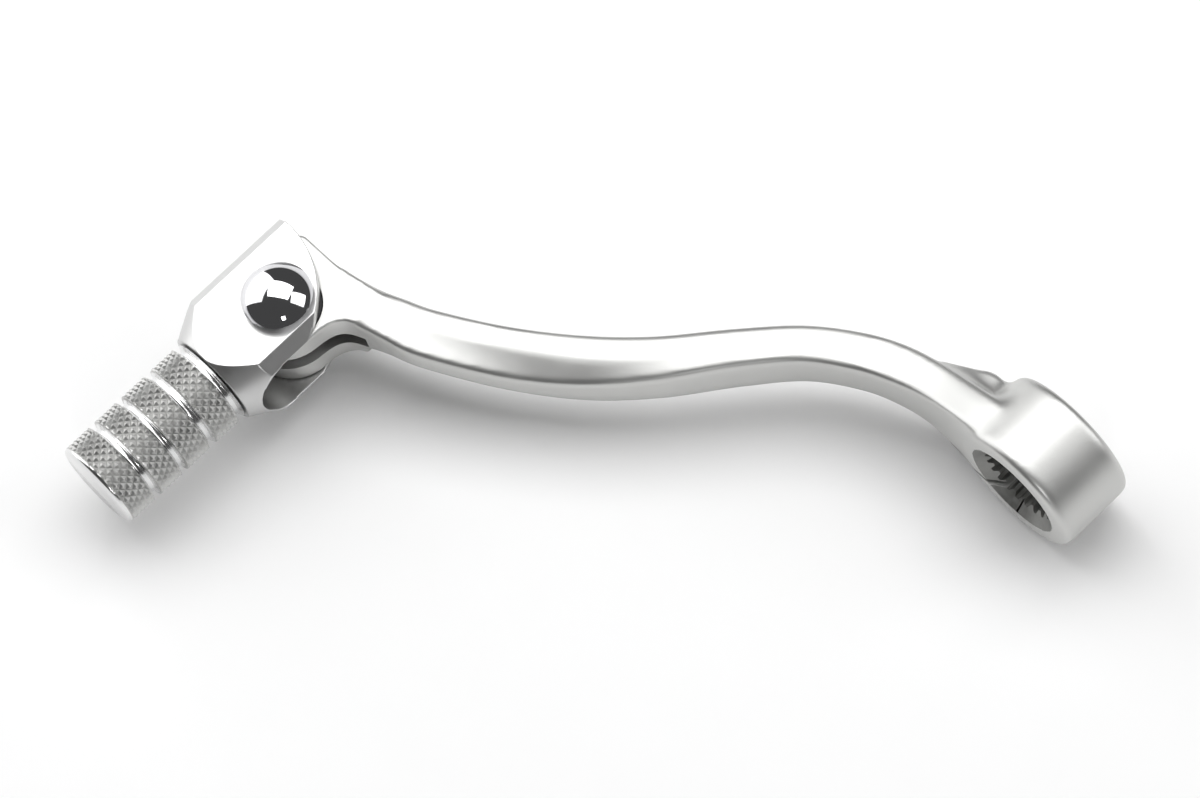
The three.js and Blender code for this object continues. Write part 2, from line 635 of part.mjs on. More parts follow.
const lever = new THREE.Group();
lever.add(part('lever_arm', leverArm(), FORGED));
lever.add(part('pinch_bolt', clampBolt(), STEEL));
lever.add(part('pinch_bolt_washer', clampWasher(), STEEL));
lever.add(part('upper_pivot_bush', pivotBush(1), BRONZE));
lever.add(part('lower_pivot_bush', pivotBush(-1), BRONZE));
lever.add(part('upper_dust_seal', dustSeal(1), RUBBER));
lever.add(part('lower_dust_seal', dustSeal(-1), RUBBER));
lever.add(part('spring_sleeve', springSleeve(), STEEL));
lever.add(part('torsion_spring', torsionSpring(), STEEL));
lever.add(part('tip_knuckle', tipKnuckle(), MACHINED));
lever.add(part('toe_peg', toePeg(), MACHINED));
lever.add(part('peg_screw', pegScrew(), STEEL));
lever.add(part('peg_screw_washer', pegWasher(), STEEL));
lever.add(part('pivot_pin', pivotPin(), CHROME));
lever.add(part('pivot_screw', pivotScrew(), STEEL));
lever.add(part('pivot_screw_washer', pivotWasher(), STEEL));

export default lever;
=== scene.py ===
"""Looks of the folding-tip gear shift lever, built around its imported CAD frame."""
import json
import math

import bmesh
import bpy
import numpy as np
from mathutils import Matrix, Vector


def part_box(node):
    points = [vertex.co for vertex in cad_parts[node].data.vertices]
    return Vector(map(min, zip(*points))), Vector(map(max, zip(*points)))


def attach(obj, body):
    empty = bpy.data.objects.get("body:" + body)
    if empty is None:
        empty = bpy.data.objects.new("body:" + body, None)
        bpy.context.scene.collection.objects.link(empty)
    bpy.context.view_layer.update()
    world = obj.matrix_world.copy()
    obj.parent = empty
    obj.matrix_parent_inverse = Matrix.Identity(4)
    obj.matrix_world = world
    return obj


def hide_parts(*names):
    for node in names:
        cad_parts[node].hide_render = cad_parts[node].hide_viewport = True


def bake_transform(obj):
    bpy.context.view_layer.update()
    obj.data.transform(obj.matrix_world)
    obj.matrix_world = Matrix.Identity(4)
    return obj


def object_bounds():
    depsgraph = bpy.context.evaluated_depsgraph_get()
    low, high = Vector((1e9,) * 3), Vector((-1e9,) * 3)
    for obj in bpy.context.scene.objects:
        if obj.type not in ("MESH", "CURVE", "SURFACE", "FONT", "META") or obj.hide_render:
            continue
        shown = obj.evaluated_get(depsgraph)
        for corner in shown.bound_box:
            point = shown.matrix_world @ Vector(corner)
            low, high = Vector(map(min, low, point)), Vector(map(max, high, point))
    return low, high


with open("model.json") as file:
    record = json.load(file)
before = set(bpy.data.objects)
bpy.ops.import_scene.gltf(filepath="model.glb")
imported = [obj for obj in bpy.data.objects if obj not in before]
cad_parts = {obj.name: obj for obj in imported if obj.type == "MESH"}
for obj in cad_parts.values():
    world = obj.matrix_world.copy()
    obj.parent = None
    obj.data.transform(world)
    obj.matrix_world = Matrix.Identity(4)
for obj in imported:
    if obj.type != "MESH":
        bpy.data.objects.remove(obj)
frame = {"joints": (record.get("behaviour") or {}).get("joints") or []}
CAD_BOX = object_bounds()
MM = 0.001


# ---- Places, from the frame ----------------------------------------------

HINGE = Vector(frame["joints"][0]["pos_m"])
PEG_LOW, PEG_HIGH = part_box("toe_peg")
PEG_X = (PEG_LOW.x + PEG_HIGH.x) / 2
FLOOR_Z = CAD_BOX[0][2]


# ---- Materials -----------------------------------------------------------

def new_material(name, colour, metallic, roughness):
    material = bpy.data.materials.new(name)
    material.use_nodes = True
    shader = material.node_tree.nodes["Principled BSDF"]
    shader.inputs["Base Color"].default_value = (*colour, 1)
    shader.inputs["Metallic"].default_value = metallic
    shader.inputs["Roughness"].default_value = roughness
    return material, material.node_tree, shader


def add_noise(tree, scale, detail=4.0, stretch=None):
    """Noise over the object's own coordinates, in metres; stretch squeezes it along the axes."""
    place = tree.nodes.new("ShaderNodeTexCoord")
    noise = tree.nodes.new("ShaderNodeTexNoise")
    noise.inputs["Scale"].default_value = scale
    noise.inputs["Detail"].default_value = detail
    source = place.outputs["Object"]
    if stretch:
        mapping = tree.nodes.new("ShaderNodeMapping")
        mapping.inputs["Scale"].default_value = stretch
        tree.links.new(source, mapping.inputs["Vector"])
        source = mapping.outputs["Vector"]
    tree.links.new(source, noise.inputs["Vector"])
    return noise.outputs["Fac"]


def spread(tree, source, low, high):
    remap = tree.nodes.new("ShaderNodeMapRange")
    remap.inputs["From Min"].default_value = 0.3
    remap.inputs["From Max"].default_value = 0.7
    remap.inputs["To Min"].default_value = low
    remap.inputs["To Max"].default_value = high
    tree.links.new(source, remap.inputs["Value"])
    return remap.outputs["Result"]


def tint(tree, source, dark, light):
    ramp = tree.nodes.new("ShaderNodeMix")
    ramp.data_type = "RGBA"
    ramp.inputs["A"].default_value = (*dark, 1)
    ramp.inputs["B"].default_value = (*light, 1)
    tree.links.new(source, ramp.inputs["Factor"])
    return ramp.outputs["Result"]


def bump(tree, shader, source, height, strength=1.0, below=None):
    node = tree.nodes.new("ShaderNodeBump")
    node.inputs["Distance"].default_value = height
    node.inputs["Strength"].default_value = strength
    tree.links.new(source, node.inputs["Height"])
    if below:
        tree.links.new(below, node.inputs["Normal"])
    tree.links.new(node.outputs["Normal"], shader.inputs["Normal"])
    return node.outputs["Normal"]


def satin_aluminium():
    """Bead-blasted and clear-anodised forging: fine peened skin and faint cloudy handling marks."""
    material, tree, shader = new_material("satin_forged_aluminium", (0.62, 0.62, 0.61), 1.0, 0.42)
    clouds = add_noise(tree, 90, 3)
    blast = add_noise(tree, 5200, 2)
    tree.links.new(tint(tree, clouds, (0.6, 0.602, 0.59), (0.66, 0.66, 0.647)), shader.inputs["Base Color"])
    tree.links.new(spread(tree, clouds, 0.4, 0.47), shader.inputs["Roughness"])
    broad = bump(tree, shader, add_noise(tree, 700, 3), 0.00002, 0.35)
    bump(tree, shader, blast, 0.00001, 0.5, broad)
    return material


def machined_aluminium():
    """Milled and lightly blasted bar: a finer, slightly directional skin."""
    material, tree, shader = new_material("machined_aluminium", (0.62, 0.62, 0.62), 1.0, 0.34)
    clouds = add_noise(tree, 160, 3)
    brushed = add_noise(tree, 900, 3, (1.0, 14.0, 1.0))
    tree.links.new(tint(tree, clouds, (0.58, 0.58, 0.58), (0.65, 0.65, 0.645)), shader.inputs["Base Color"])
    tree.links.new(spread(tree, brushed, 0.3, 0.38), shader.inputs["Roughness"])
    bump(tree, shader, brushed, 0.000006, 0.5)
    return material


def bore_with_painted_shade():
    """Cut splines, coloured dark as painted shade for the shade inside the bore, with a random mottle."""
    material, tree, shader = new_material("broached_bore_painted_shade", (0.3, 0.3, 0.29), 1.0, 0.45)
    mottle = add_noise(tree, 900, 4)
    tree.links.new(tint(tree, mottle, (0.2, 0.2, 0.19), (0.38, 0.38, 0.37)), shader.inputs["Base Color"])
    tree.links.new(spread(tree, mottle, 0.36, 0.56), shader.inputs["Roughness"])
    bump(tree, shader, add_noise(tree, 2500, 3, (1.0, 0.1, 1.0)), 0.00002, 0.4)
    return material


def knurled_aluminium():
    material, tree, shader = new_material("knurled_aluminium", (0.58, 0.58, 0.57), 1.0, 0.4)
    mottle = add_noise(tree, 600, 4)
    tree.links.new(tint(tree, mottle, (0.52, 0.52, 0.51), (0.64, 0.64, 0.63)), shader.inputs["Base Color"])
    tree.links.new(spread(tree, mottle, 0.36, 0.46), shader.inputs["Roughness"])
    bump(tree, shader, add_noise(tree, 4000, 2), 0.00001, 0.4)
    return material


def turned_aluminium():
    """Tool-polished turning, with rings left by the cutter."""
    material, tree, shader = new_material("turned_bright_aluminium", (0.78, 0.78, 0.78), 1.0, 0.12)
    rings = add_noise(tree, 500, 2, (0.05, 16.0, 0.05))
    tree.links.new(tint(tree, rings, (0.74, 0.74, 0.74), (0.81, 0.81, 0.81)), shader.inputs["Base Color"])
    tree.links.new(spread(tree, rings, 0.14, 0.24), shader.inputs["Roughness"])
    bump(tree, shader, rings, 0.000004, 0.5)
    return material


def polished_chrome():
    material, tree, shader = new_material("polished_chrome", (0.72, 0.72, 0.74), 1.0, 0.04)
    smears = add_noise(tree, 350, 3)
    tree.links.new(tint(tree, smears, (0.7, 0.7, 0.72), (0.76, 0.76, 0.775)), shader.inputs["Base Color"])
    tree.links.new(spread(tree, smears, 0.03, 0.075), shader.inputs["Roughness"])
    bump(tree, shader, add_noise(tree, 260, 2), 0.00001, 0.12)
    return material


def plated_steel():
    material, tree, shader = new_material("zinc_plated_steel", (0.6, 0.6, 0.61), 1.0, 0.32)
    clouds = add_noise(tree, 700, 4)
    tree.links.new(tint(tree, clouds, (0.5, 0.505, 0.52), (0.68, 0.68, 0.675)), shader.inputs["Base Color"])
    tree.links.new(spread(tree, clouds, 0.24, 0.42), shader.inputs["Roughness"])
    bump(tree, shader, add_noise(tree, 3500, 3), 0.00001, 0.4)
    return material


def spring_wire():
    material, tree, shader = new_material("drawn_spring_wire", (0.3, 0.3, 0.31), 1.0, 0.35)
    drawn = add_noise(tree, 2500, 3)
    tree.links.new(tint(tree, drawn, (0.2, 0.2, 0.21), (0.38, 0.38, 0.39)), shader.inputs["Base Color"])
    tree.links.new(spread(tree, drawn, 0.26, 0.45), shader.inputs["Roughness"])
    bump(tree, shader, drawn, 0.00001, 0.4)
    return material


def oiled_bronze():
    material, tree, shader = new_material("oiled_bronze", (0.62, 0.44, 0.22), 1.0, 0.36)
    pores = add_noise(tree, 2600, 4)
    tree.links.new(tint(tree, pores, (0.42, 0.27, 0.12), (0.68, 0.49, 0.26)), shader.inputs["Base Color"])
    tree.links.new(spread(tree, pores, 0.28, 0.46), shader.inputs["Roughness"])
    bump(tree, shader, pores, 0.00002, 0.5)
    return material


def seal_rubber():
    material, tree, shader = new_material("seal_rubber", (0.02, 0.02, 0.021), 0.0, 0.6)
    skin = add_noise(tree, 1800, 4)
    shade = tint(tree, skin, (0.012, 0.012, 0.013), (0.035, 0.035, 0.037))
    tree.links.new(shade, shader.inputs["Base Color"])
    tree.links.new(spread(tree, skin, 0.5, 0.72), shader.inputs["Roughness"])
    bump(tree, shader, skin, 0.00003, 0.5)
    return material


def floor_material():
    material, tree, shader = new_material("white_table", (0.93, 0.93, 0.93), 0.0, 0.55)
    paper = add_noise(tree, 60, 4)
    tree.links.new(tint(tree, paper, (0.92, 0.92, 0.92), (0.94, 0.94, 0.94)), shader.inputs["Base Color"])
    return material


FORGED = satin_aluminium()
MACHINED = machined_aluminium()
BORE_PAINTED_SHADE = bore_with_painted_shade()
KNURLED = knurled_aluminium()
TURNED = turned_aluminium()
CHROME = polished_chrome()
PLATED = plated_steel()
SPRING = spring_wire()
BRONZE = oiled_bronze()
RUBBER = seal_rubber()


# ---- Mesh helpers --------------------------------------------------------
# Shapes are worked out in millimetres, and scaled to metres as they become meshes.

def add_piece(name, points, faces):
    """A smooth-shaded object with its faces turned outwards."""
    mesh = bpy.data.meshes.new(name)
    mesh.from_pydata((np.asarray(points) * MM).tolist(), [], faces)
    work = bmesh.new()
    work.from_mesh(mesh)
    bmesh.ops.recalc_face_normals(work, faces=work.faces)
    work.to_mesh(mesh)
    work.free()
    mesh.polygons.foreach_set("use_smooth", [True] * len(mesh.polygons))
    piece = bpy.data.objects.new(name, mesh)
    bpy.context.scene.collection.objects.link(piece)
    return piece


def settle(piece):
    """Turns a piece's modifiers into plain mesh."""
    bpy.context.view_layer.update()
    shown = piece.evaluated_get(bpy.context.evaluated_depsgraph_get())
    mesh = bpy.data.meshes.new_from_object(shown)
    old = piece.data
    piece.modifiers.clear()
    piece.data = mesh
    bpy.data.meshes.remove(old)
    mesh.polygons.foreach_set("use_smooth", [True] * len(mesh.polygons))
    return piece


def combine(piece, other, operation):
    """Cuts or joins with another closed piece, which is used up."""
    step = piece.modifiers.new("combine", "BOOLEAN")
    step.operation = operation
    step.solver = "EXACT"
    step.object = other
    settle(piece)
    bpy.data.objects.remove(other)
    return piece


def cut(piece, *tools):
    for tool in tools:
        combine(piece, tool, "DIFFERENCE")
    return piece


def join(pieces):
    """Puts several closed shells in one object, still overlapping."""
    work = bmesh.new()
    for piece in pieces:
        work.from_mesh(piece.data)
        bpy.data.objects.remove(piece)
    mesh = bpy.data.meshes.new("joined")
    work.to_mesh(mesh)
    work.free()
    whole = bpy.data.objects.new("joined", mesh)
    bpy.context.scene.collection.objects.link(whole)
    return whole


def voxel(piece, size):
    step = piece.modifiers.new("voxel", "REMESH")
    step.mode = "VOXEL"
    step.voxel_size = size * MM
    return settle(piece)


def relax(piece, rounds, share, fill_rounds=0):
    """Smooths a fine mesh without shrinking it, then fills its inner corners with fillets."""
    mesh = piece.data
    count = len(mesh.vertices)
    place = np.empty(count * 3)
    mesh.vertices.foreach_get("co", place)
    place = place.reshape(-1, 3)
    ends = np.empty(len(mesh.edges) * 2, np.int64)
    mesh.edges.foreach_get("vertices", ends)
    a, b = ends.reshape(-1, 2).T
    degree = np.bincount(np.concatenate([a, b]), minlength=count)[:, None]

    def pull(points):
        total = np.empty_like(points)
        for k in range(3):
            total[:, k] = np.bincount(a, points[b, k], count) + np.bincount(b, points[a, k], count)
        return total / degree - points

    for _ in range(rounds):
        place = place + share * pull(place)
        place = place - (share + 0.02) * pull(place)
    for k in range(fill_rounds):
        if k % 5 == 0:
            mesh.vertices.foreach_set("co", place.ravel())
            mesh.update()
            normal = np.empty(count * 3)
            mesh.vertex_normals.foreach_get("vector", normal)
            normal = normal.reshape(-1, 3)
        move = pull(place)
        outward = np.einsum("ij,ij->i", move, normal)[:, None]
        place = place + np.where(outward > 0, 0.5, 0.03) * move
    mesh.vertices.foreach_set("co", place.ravel())
    mesh.update()
    return piece


def fillet(profile, radius, steps=4):
    """Rounds the corners of a turned profile, apart from points on the axis."""
    result = [np.array(profile[0], float)]
    for before, corner, after in zip(profile, profile[1:], profile[2:]):
        before, corner, after = (np.array(p, float) for p in (before, corner, after))
        to_before = before - corner
        to_after = after - corner
        reach = min(radius, 0.45 * np.linalg.norm(to_before), 0.45 * np.linalg.norm(to_after))
        start = corner + to_before / np.linalg.norm(to_before) * reach
        end = corner + to_after / np.linalg.norm(to_after) * reach
        for k in range(steps + 1):
            t = k / steps
            result.append((1 - t) ** 2 * start + 2 * t * (1 - t) * corner + t ** 2 * end)
    result.append(np.array(profile[-1], float))
    return result


def turned(name, profile, axis, centre, segments=128):
    """A solid of revolution from (radius, station) pairs; a profile off the axis closes into a ring."""
    profile = np.array(profile, float)
    ring = profile[0][0] > 0
    points, rows = [], []
    for radius, station in profile:
        if radius <= 0:
            rows.append([len(points)] * segments)
            points.append((0, 0, station))
        else:
            rows.append(list(range(len(points), len(points) + segments)))
            for k in range(segments):
                angle = 2 * math.pi * k / segments
                points.append((radius * math.cos(angle), radius * math.sin(angle), station))
    if ring:
        rows.append(rows[0])
    faces = []
    for low, high in zip(rows, rows[1:]):
        for k in range(segments):
            n = (k + 1) % segments
            corners = dict.fromkeys((low[k], low[n], high[n], high[k]))
            if len(corners) > 2:
                faces.append(tuple(corners))
    points = np.array(points)
    if axis == "y":
        points = np.stack([points[:, 0], points[:, 2], points[:, 1]], 1)
    return add_piece(name, points + np.array(centre), faces)


def prism(name, outline, low, high, axis="z"):
    """A flat outline raised along an axis: X and Y for z, X and Z for y, Y and Z for x."""
    count = len(outline)
    order = {"z": (0, 1, 2), "y": (0, 2, 1), "x": (2, 0, 1)}[axis]
    points = []
    for level in (low, high):
        for u, v in outline:
            point = (u, v, level)
            points.append([point[i] for i in order])
    faces = [tuple(range(count)), tuple(range(count, 2 * count))]
    faces += [(k, (k + 1) % count, count + (k + 1) % count, count + k) for k in range(count)]
    return add_piece(name, points, faces)


def arc(x, y, radius, start, end, steps):
    angles = np.radians(np.linspace(start, end, steps + 1))
    return [(x + radius * math.cos(t), y + radius * math.sin(t)) for t in angles]


def rod(radius, low, high, axis, centre, segments=96):
    return turned("rod", [(0, low), (radius, low), (radius, high), (0, high)], axis, centre, segments)


def finish_piece(piece, name, body, node, material, sharp=32):
    """Names a piece, gives it its finish and hides its CAD node. A piece given no body is left unattached."""
    piece.name = name
    piece.data.name = name
    piece.data.materials.clear()
    piece.data.materials.append(material)
    piece.data.set_sharp_from_angle(angle=math.radians(sharp))
    if body:
        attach(piece, body)
    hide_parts(node)
    return piece


# ---- Forged arm ----------------------------------------------------------

# Place, width across, inner half-height, and heights above and below the middle of the
# outer edge, as in the CAD model.
ARM_STATIONS = [
    (2.0, 2.8, 7.4, 10.9, 10.4, 10.4),
    (9.5, 2.7, 7.0, 9.3, 8.9, 8.9),
    (18.6, 2.9, 6.6, 6.1, 5.7, 5.7),
    (25.8, 4.3, 6.9, 4.9, 4.5, 4.5),
    (32.2, 7.0, 6.8, 4.5, 4.2, 4.2),
    (39.5, 11.9, 6.6, 4.4, 4.2, 4.2),
    (46.8, 19.6, 6.9, 4.5, 4.3, 4.3),
    (54.6, 28.8, 7.6, 4.5, 4.2, 4.2),
    (63.0, 36.6, 8.2, 4.5, 3.9, 3.9),
    (72.8, 43.6, 8.4, 4.6, 3.6, 2.6),
    (83.3, 49.5, 8.4, 4.9, 4.1, 0.9),
    (88.5, 51.5, 8.0, 5.25, 4.8, 1.0),
    (92.6, 52.9, 7.6, 5.5, 5.35, 3.0),
    (96.2, 54.1, 8.2, 5.55, 5.55, 5.4),
    (99.4, 55.3, 9.6, 5.55, 5.55, 5.5),
]
# The outer shoulder is worn down towards the middle of the arm's front half.
SHOULDER_X = 64.0
SHOULDER_REACH = 13.0
SHOULDER_FALL = 1.05
OUTER_EDGE = 0.7
INNER_EDGE = 1.5


def smooth_route(rows, steps):
    """Catmull-Rom through rows of numbers."""
    rows = np.array(rows, float)
    rows = np.vstack([2 * rows[0] - rows[1], rows, 2 * rows[-1] - rows[-2]])
    result = []
    spans = len(rows) - 3
    for k in range(steps + 1):
        at = min(k / steps * spans, spans - 1e-9)
        i = int(at)
        t = at - i
        p0, p1, p2, p3 = rows[i:i + 4]
        result.append(0.5 * (2 * p1 + (p2 - p0) * t + (2 * p0 - 5 * p1 + 4 * p2 - p3) * t ** 2
                             + (3 * p1 - p0 - 3 * p2 + p3) * t ** 3))
    return np.array(result)


def arm_section(width, inner, outer, under, shoulder):
    """Closed outline of the bar, (offset to the outer side, height), rounded at its edges."""
    half = width / 2

    def side(edge, fall):
        crown = (inner + edge) / 2 + 0.05
        outside = [(half - 0.05, edge * 0.6), (half - 0.35, edge - fall), (half - 3.1, edge + 0.05)]
        return outside + [(0, crown), (-half + 0.2, inner), (-half, inner * 0.4)]

    whole = [(half, 0)] + side(outer, shoulder) + [(p, -z) for p, z in reversed(side(under, 0))]
    reach = [1.0, OUTER_EDGE, 1.0, 1.6, INNER_EDGE, 1.0]
    reach = [1.0] + reach + reach[::-1]
    count = len(whole)
    points = []
    for k, corner in enumerate(whole):
        before = np.array(whole[k - 1], float)
        after = np.array(whole[(k + 1) % count], float)
        corner = np.array(corner, float)
        to_before = before - corner
        to_after = after - corner
        r = min(reach[k], 0.45 * np.linalg.norm(to_before), 0.45 * np.linalg.norm(to_after))
        start = corner + to_before / np.linalg.norm(to_before) * r
        end = corner + to_after / np.linalg.norm(to_after) * r
        for t in (0, 0.25, 0.5, 0.75, 1):
            points.append((1 - t) ** 2 * start + 2 * t * (1 - t) * corner + t ** 2 * end)
    return points


def arm_bar():
    rows = smooth_route(ARM_STATIONS, 180)
    along = np.gradient(rows[:, :2], axis=0)
    along /= np.linalg.norm(along, axis=1)[:, None]
    points, faces = [], []
    for (x, y, *sizes), (dx, dy) in zip(rows, along):
        shoulder = SHOULDER_FALL * math.exp(-((x - SHOULDER_X) / SHOULDER_REACH) ** 2)
        for p, z in arm_section(*sizes, shoulder):
            points.append((x - dy * p, y + dx * p, z))
    size = len(points) // len(rows)
    for i in range(len(rows) - 1):
        for k in range(size):
            n = (k + 1) % size
            faces.append((i * size + k, i * size + n, (i + 1) * size + n, (i + 1) * size + k))
    faces.append(tuple(range(size)))
    faces.append(tuple(range(len(points) - size, len(points))))
    return add_piece("bar", points, faces)


HUB_RADIUS = 11.6
HUB_HALF = 6.6
BORE_RADIUS = 7.0
SPLINE_DEPTH = 0.55
SPLINE_TEETH = 22
BORE_CHAMFER = 1.3
# Pinch clamp: the bolt comes up from below through a boss, across a slit in the neck.
CLAMP = (13.2, -0.2)
BOSS_RADIUS = 4.4
BOSS_TOP = 4.6
BOSS_BOTTOM = -9.2
SLIT_START, SLIT_END = 3.2, 24
SLIT_LOW, SLIT_HIGH = -6.2, -5.4
BOLT_HOLE_RADIUS = 3.1
BOLT_HOLE_TOP = 2.9
BOLT_HEAD_ROOM = 6.0
# Tongue of the arm, and the slot in it for the spring.
PIVOT = (HINGE.x / MM, HINGE.y / MM)
TONGUE_RADIUS = 7.4
TONGUE_HALF = 5.6
TONGUE_INNER_SIDE = -10.6
SPRING_SLOT_HALF = 1.6
SPRING_SLOT_RADIUS = 12.4
SPRING_SLOT_OFFSET = (-3.5, 3.2)
BUSH_HOLE_RADIUS = 4.8
SEAL_RECESS_RADIUS = 6.55
# How far cutting tools run past the metal they cut.
BEYOND = 20


def hub_drum():
    outline = [(0, -HUB_HALF), (HUB_RADIUS, -HUB_HALF), (HUB_RADIUS, HUB_HALF), (0, HUB_HALF)]
    return turned("drum", fillet(outline, 1.3, 6), "y", (0, 0, 0), 160)


def clamp_boss():
    x, y = CLAMP
    profile = [(0, BOSS_BOTTOM), (BOSS_RADIUS, BOSS_BOTTOM), (BOSS_RADIUS, BOSS_TOP - 0.9)]
    profile += [(BOSS_RADIUS * math.cos(t), BOSS_TOP - 0.9 + 0.9 * math.sin(t)) for t in (0.5, 1.0, 1.3)]
    round_boss = turned("boss", profile + [(0, BOSS_TOP)], "z", (x, y, 0), 72)
    web = [(x - 5.5, y - BOSS_RADIUS), (x + 0.9, y - BOSS_RADIUS + 0.05), (x + 8.4, y - 0.4)]
    web += [(x + 8.4, y + 3), (x - 5.5, y + 3)]
    return round_boss, prism("web", web, BOSS_BOTTOM + 0.8, BOSS_TOP - 0.9)


def tongue_plate():
    side = TONGUE_INNER_SIDE
    r = TONGUE_RADIUS
    outline = arc(0, 0, r, 0, 184, 60) + [
        (-7.6, -2.4), (-8.4, -4.1), (-9.3, -5.1), (-10.6, -5.8), (-10.6, -12.0), (-6.2, -11.5), (-4.0, -11.1),
        (-0.5, side), (r - 1.2, side), (r - 0.35, side + 0.35), (r, side + 1.2),
    ]
    outline = [(x + PIVOT[0], y + PIVOT[1]) for x, y in outline]
    return prism("tongue", outline, -TONGUE_HALF, TONGUE_HALF)


def splined_bore():
    outline = []
    for i in range(SPLINE_TEETH):
        for share, depth in ((0, 0), (0.1, 0), (0.2, 0), (0.3, 0), (0.5, 1), (0.6, 1), (0.7, 1), (0.8, 1)):
            angle = (i + share) * 2 * math.pi / SPLINE_TEETH
            radius = BORE_RADIUS - depth * SPLINE_DEPTH
            outline.append((radius * math.cos(angle), radius * math.sin(angle)))
    tools = [prism("bore", outline, -HUB_HALF - 1, HUB_HALF + 1, "y")]
    inside = HUB_HALF - BORE_CHAMFER - 1
    mouth = BORE_RADIUS + BORE_CHAMFER
    for side in (-1, 1):
        profile = [(0, side * inside), (BORE_RADIUS - 1, side * inside), (mouth, side * HUB_HALF),
                   (mouth, side * (HUB_HALF + 1)), (0, side * (HUB_HALF + 1))]
        tools.append(turned("mouth", profile, "y", (0, 0, 0), 160))
    return tools


def clamp_tools():
    x, y = CLAMP
    section = [(SLIT_START, SLIT_LOW), (SLIT_END, SLIT_LOW), (SLIT_END, SLIT_HIGH), (SLIT_START, SLIT_HIGH)]
    slit = prism("slit", section, -BEYOND, BEYOND, "y")
    hole = rod(BOLT_HOLE_RADIUS, -BEYOND, BOLT_HOLE_TOP, "z", (x, y, 0))
    head_room = rod(BOLT_HEAD_ROOM, -BEYOND, BOSS_BOTTOM, "z", (x, y, 0))
    return [slit, hole, head_room]


def tongue_tools():
    x, y = PIVOT
    middle = (x + SPRING_SLOT_OFFSET[0], y + SPRING_SLOT_OFFSET[1], 0)
    tools = [rod(SPRING_SLOT_RADIUS, -SPRING_SLOT_HALF, SPRING_SLOT_HALF, "z", middle, 192)]
    tools.append(rod(BUSH_HOLE_RADIUS, -BEYOND, BEYOND, "z", (x, y, 0)))
    for low in (TONGUE_HALF - 1, -TONGUE_HALF - 1):
        tools.append(rod(SEAL_RECESS_RADIUS, low, low + 2, "z", (x, y, 0)))
    return tools


def build_arm():
    forging = join([arm_bar(), hub_drum(), *clamp_boss(), tongue_plate()])
    voxel(forging, 0.28)
    relax(forging, 6, 0.5, 160)
    cut(forging, *splined_bore(), *clamp_tools(), *tongue_tools())
    finish_piece(forging, "forged_arm", "arm", "lever_arm", FORGED)
    # The bore's inward faces get the dark material: painted shade inside the bore.
    forging.data.materials.append(BORE_PAINTED_SHADE)
    mouth = (BORE_RADIUS + BORE_CHAMFER + 0.05) * MM
    for face in forging.data.polygons:
        inward = face.normal.x * face.center.x + face.normal.z * face.center.z < 0
        if inward and math.hypot(face.center.x, face.center.z) < mouth:
            face.material_index = 1


# ---- Knuckle -------------------------------------------------------------

# Sizes across the knuckle, and along it from the pivot.
KNUCKLE_HALF_WIDTH = 9.5
KNUCKLE_FLAT_HALF_WIDTH = 7.4
KNUCKLE_HALF = 8.0
KNUCKLE_OUTER_END = 14.7
KNUCKLE_INNER_END = -9.8
KNUCKLE_SLOT_HALF = 5.9
SLOT_ROUND_CENTRE = 6.4
STOP_WALL = TONGUE_RADIUS + 0.3
CORNER = (8.5, 7.7)
PEG_SCREW_SEAT = 12.4
PEG_OFFSET = PEG_X / MM - PIVOT[0]
PEG_CENTRE = (PEG_X / MM, PIVOT[1], 0)


def build_knuckle():
    w, f, h = KNUCKLE_HALF_WIDTH, KNUCKLE_FLAT_HALF_WIDTH, KNUCKLE_HALF
    c = h - (w - f)
    section = [(w, -c), (w, c), (f, h), (-f, h), (-w, c), (-w, -c), (-f, -h), (f, -h)]
    section = [(x + PEG_CENTRE[0], z) for x, z in section]
    knuckle = prism("knuckle", section, PIVOT[1] - BEYOND, PIVOT[1] + KNUCKLE_OUTER_END, "y")
    end = KNUCKLE_OUTER_END
    taper = [(0, -21), (11.4, -21), (11.4, end - 6.0), (8.0, end), (0, end)]
    cone = turned("cone", taper, "y", PEG_CENTRE, 256)
    left = PEG_OFFSET - w - 1
    right = PEG_OFFSET + w + 1
    corner = arc(*CORNER, CORNER[1] - KNUCKLE_INNER_END, 187, 270, 100)
    plan = [(right, KNUCKLE_INNER_END), (right, BEYOND), (left, BEYOND)] + corner
    plan = prism("plan", [(x + PIVOT[0], y + PIVOT[1]) for x, y in plan], -10, 10)
    combine(knuckle, cone, "INTERSECT")
    combine(knuckle, plan, "INTERSECT")
    half = KNUCKLE_SLOT_HALF
    slot = [(-30, -half)] + arc(SLOT_ROUND_CENTRE, 0, half, -90, 90, 64) + [(-30, half)]
    slot = prism("slot", [(y + PIVOT[1], z) for y, z in slot], PIVOT[0] - 30, PIVOT[0] + STOP_WALL, "x")
    pin_hole = rod(3.6, -BEYOND, BEYOND, "z", (*PIVOT, 0), 128)
    screw_hole = rod(2.8, 5, BEYOND, "y", PEG_CENTRE, 64)
    seat = rod(4.4, 5, PEG_SCREW_SEAT, "y", PEG_CENTRE, 96)
    cut(knuckle, slot, pin_hole, screw_hole, seat)
    voxel(knuckle, 0.14)
    relax(knuckle, 2, 0.4)
    finish_piece(knuckle, "machined_knuckle", "tip", "tip_knuckle", MACHINED, 180)


# ---- Knurled toe peg -----------------------------------------------------

PEG_BANDS = [(1.75, 6.35), (7.7, 12.35), (13.7, 18.0), (19.4, 24.0)]
PEG_RADIUS = 7.55
PEG_GROOVE = 6.4
PEG_LENGTH = 24.7
PEG_GAP = 0.3
KNURL_STARTS = 30
KNURL_DEPTH = 0.42
KNURL_DIVISIONS = 12


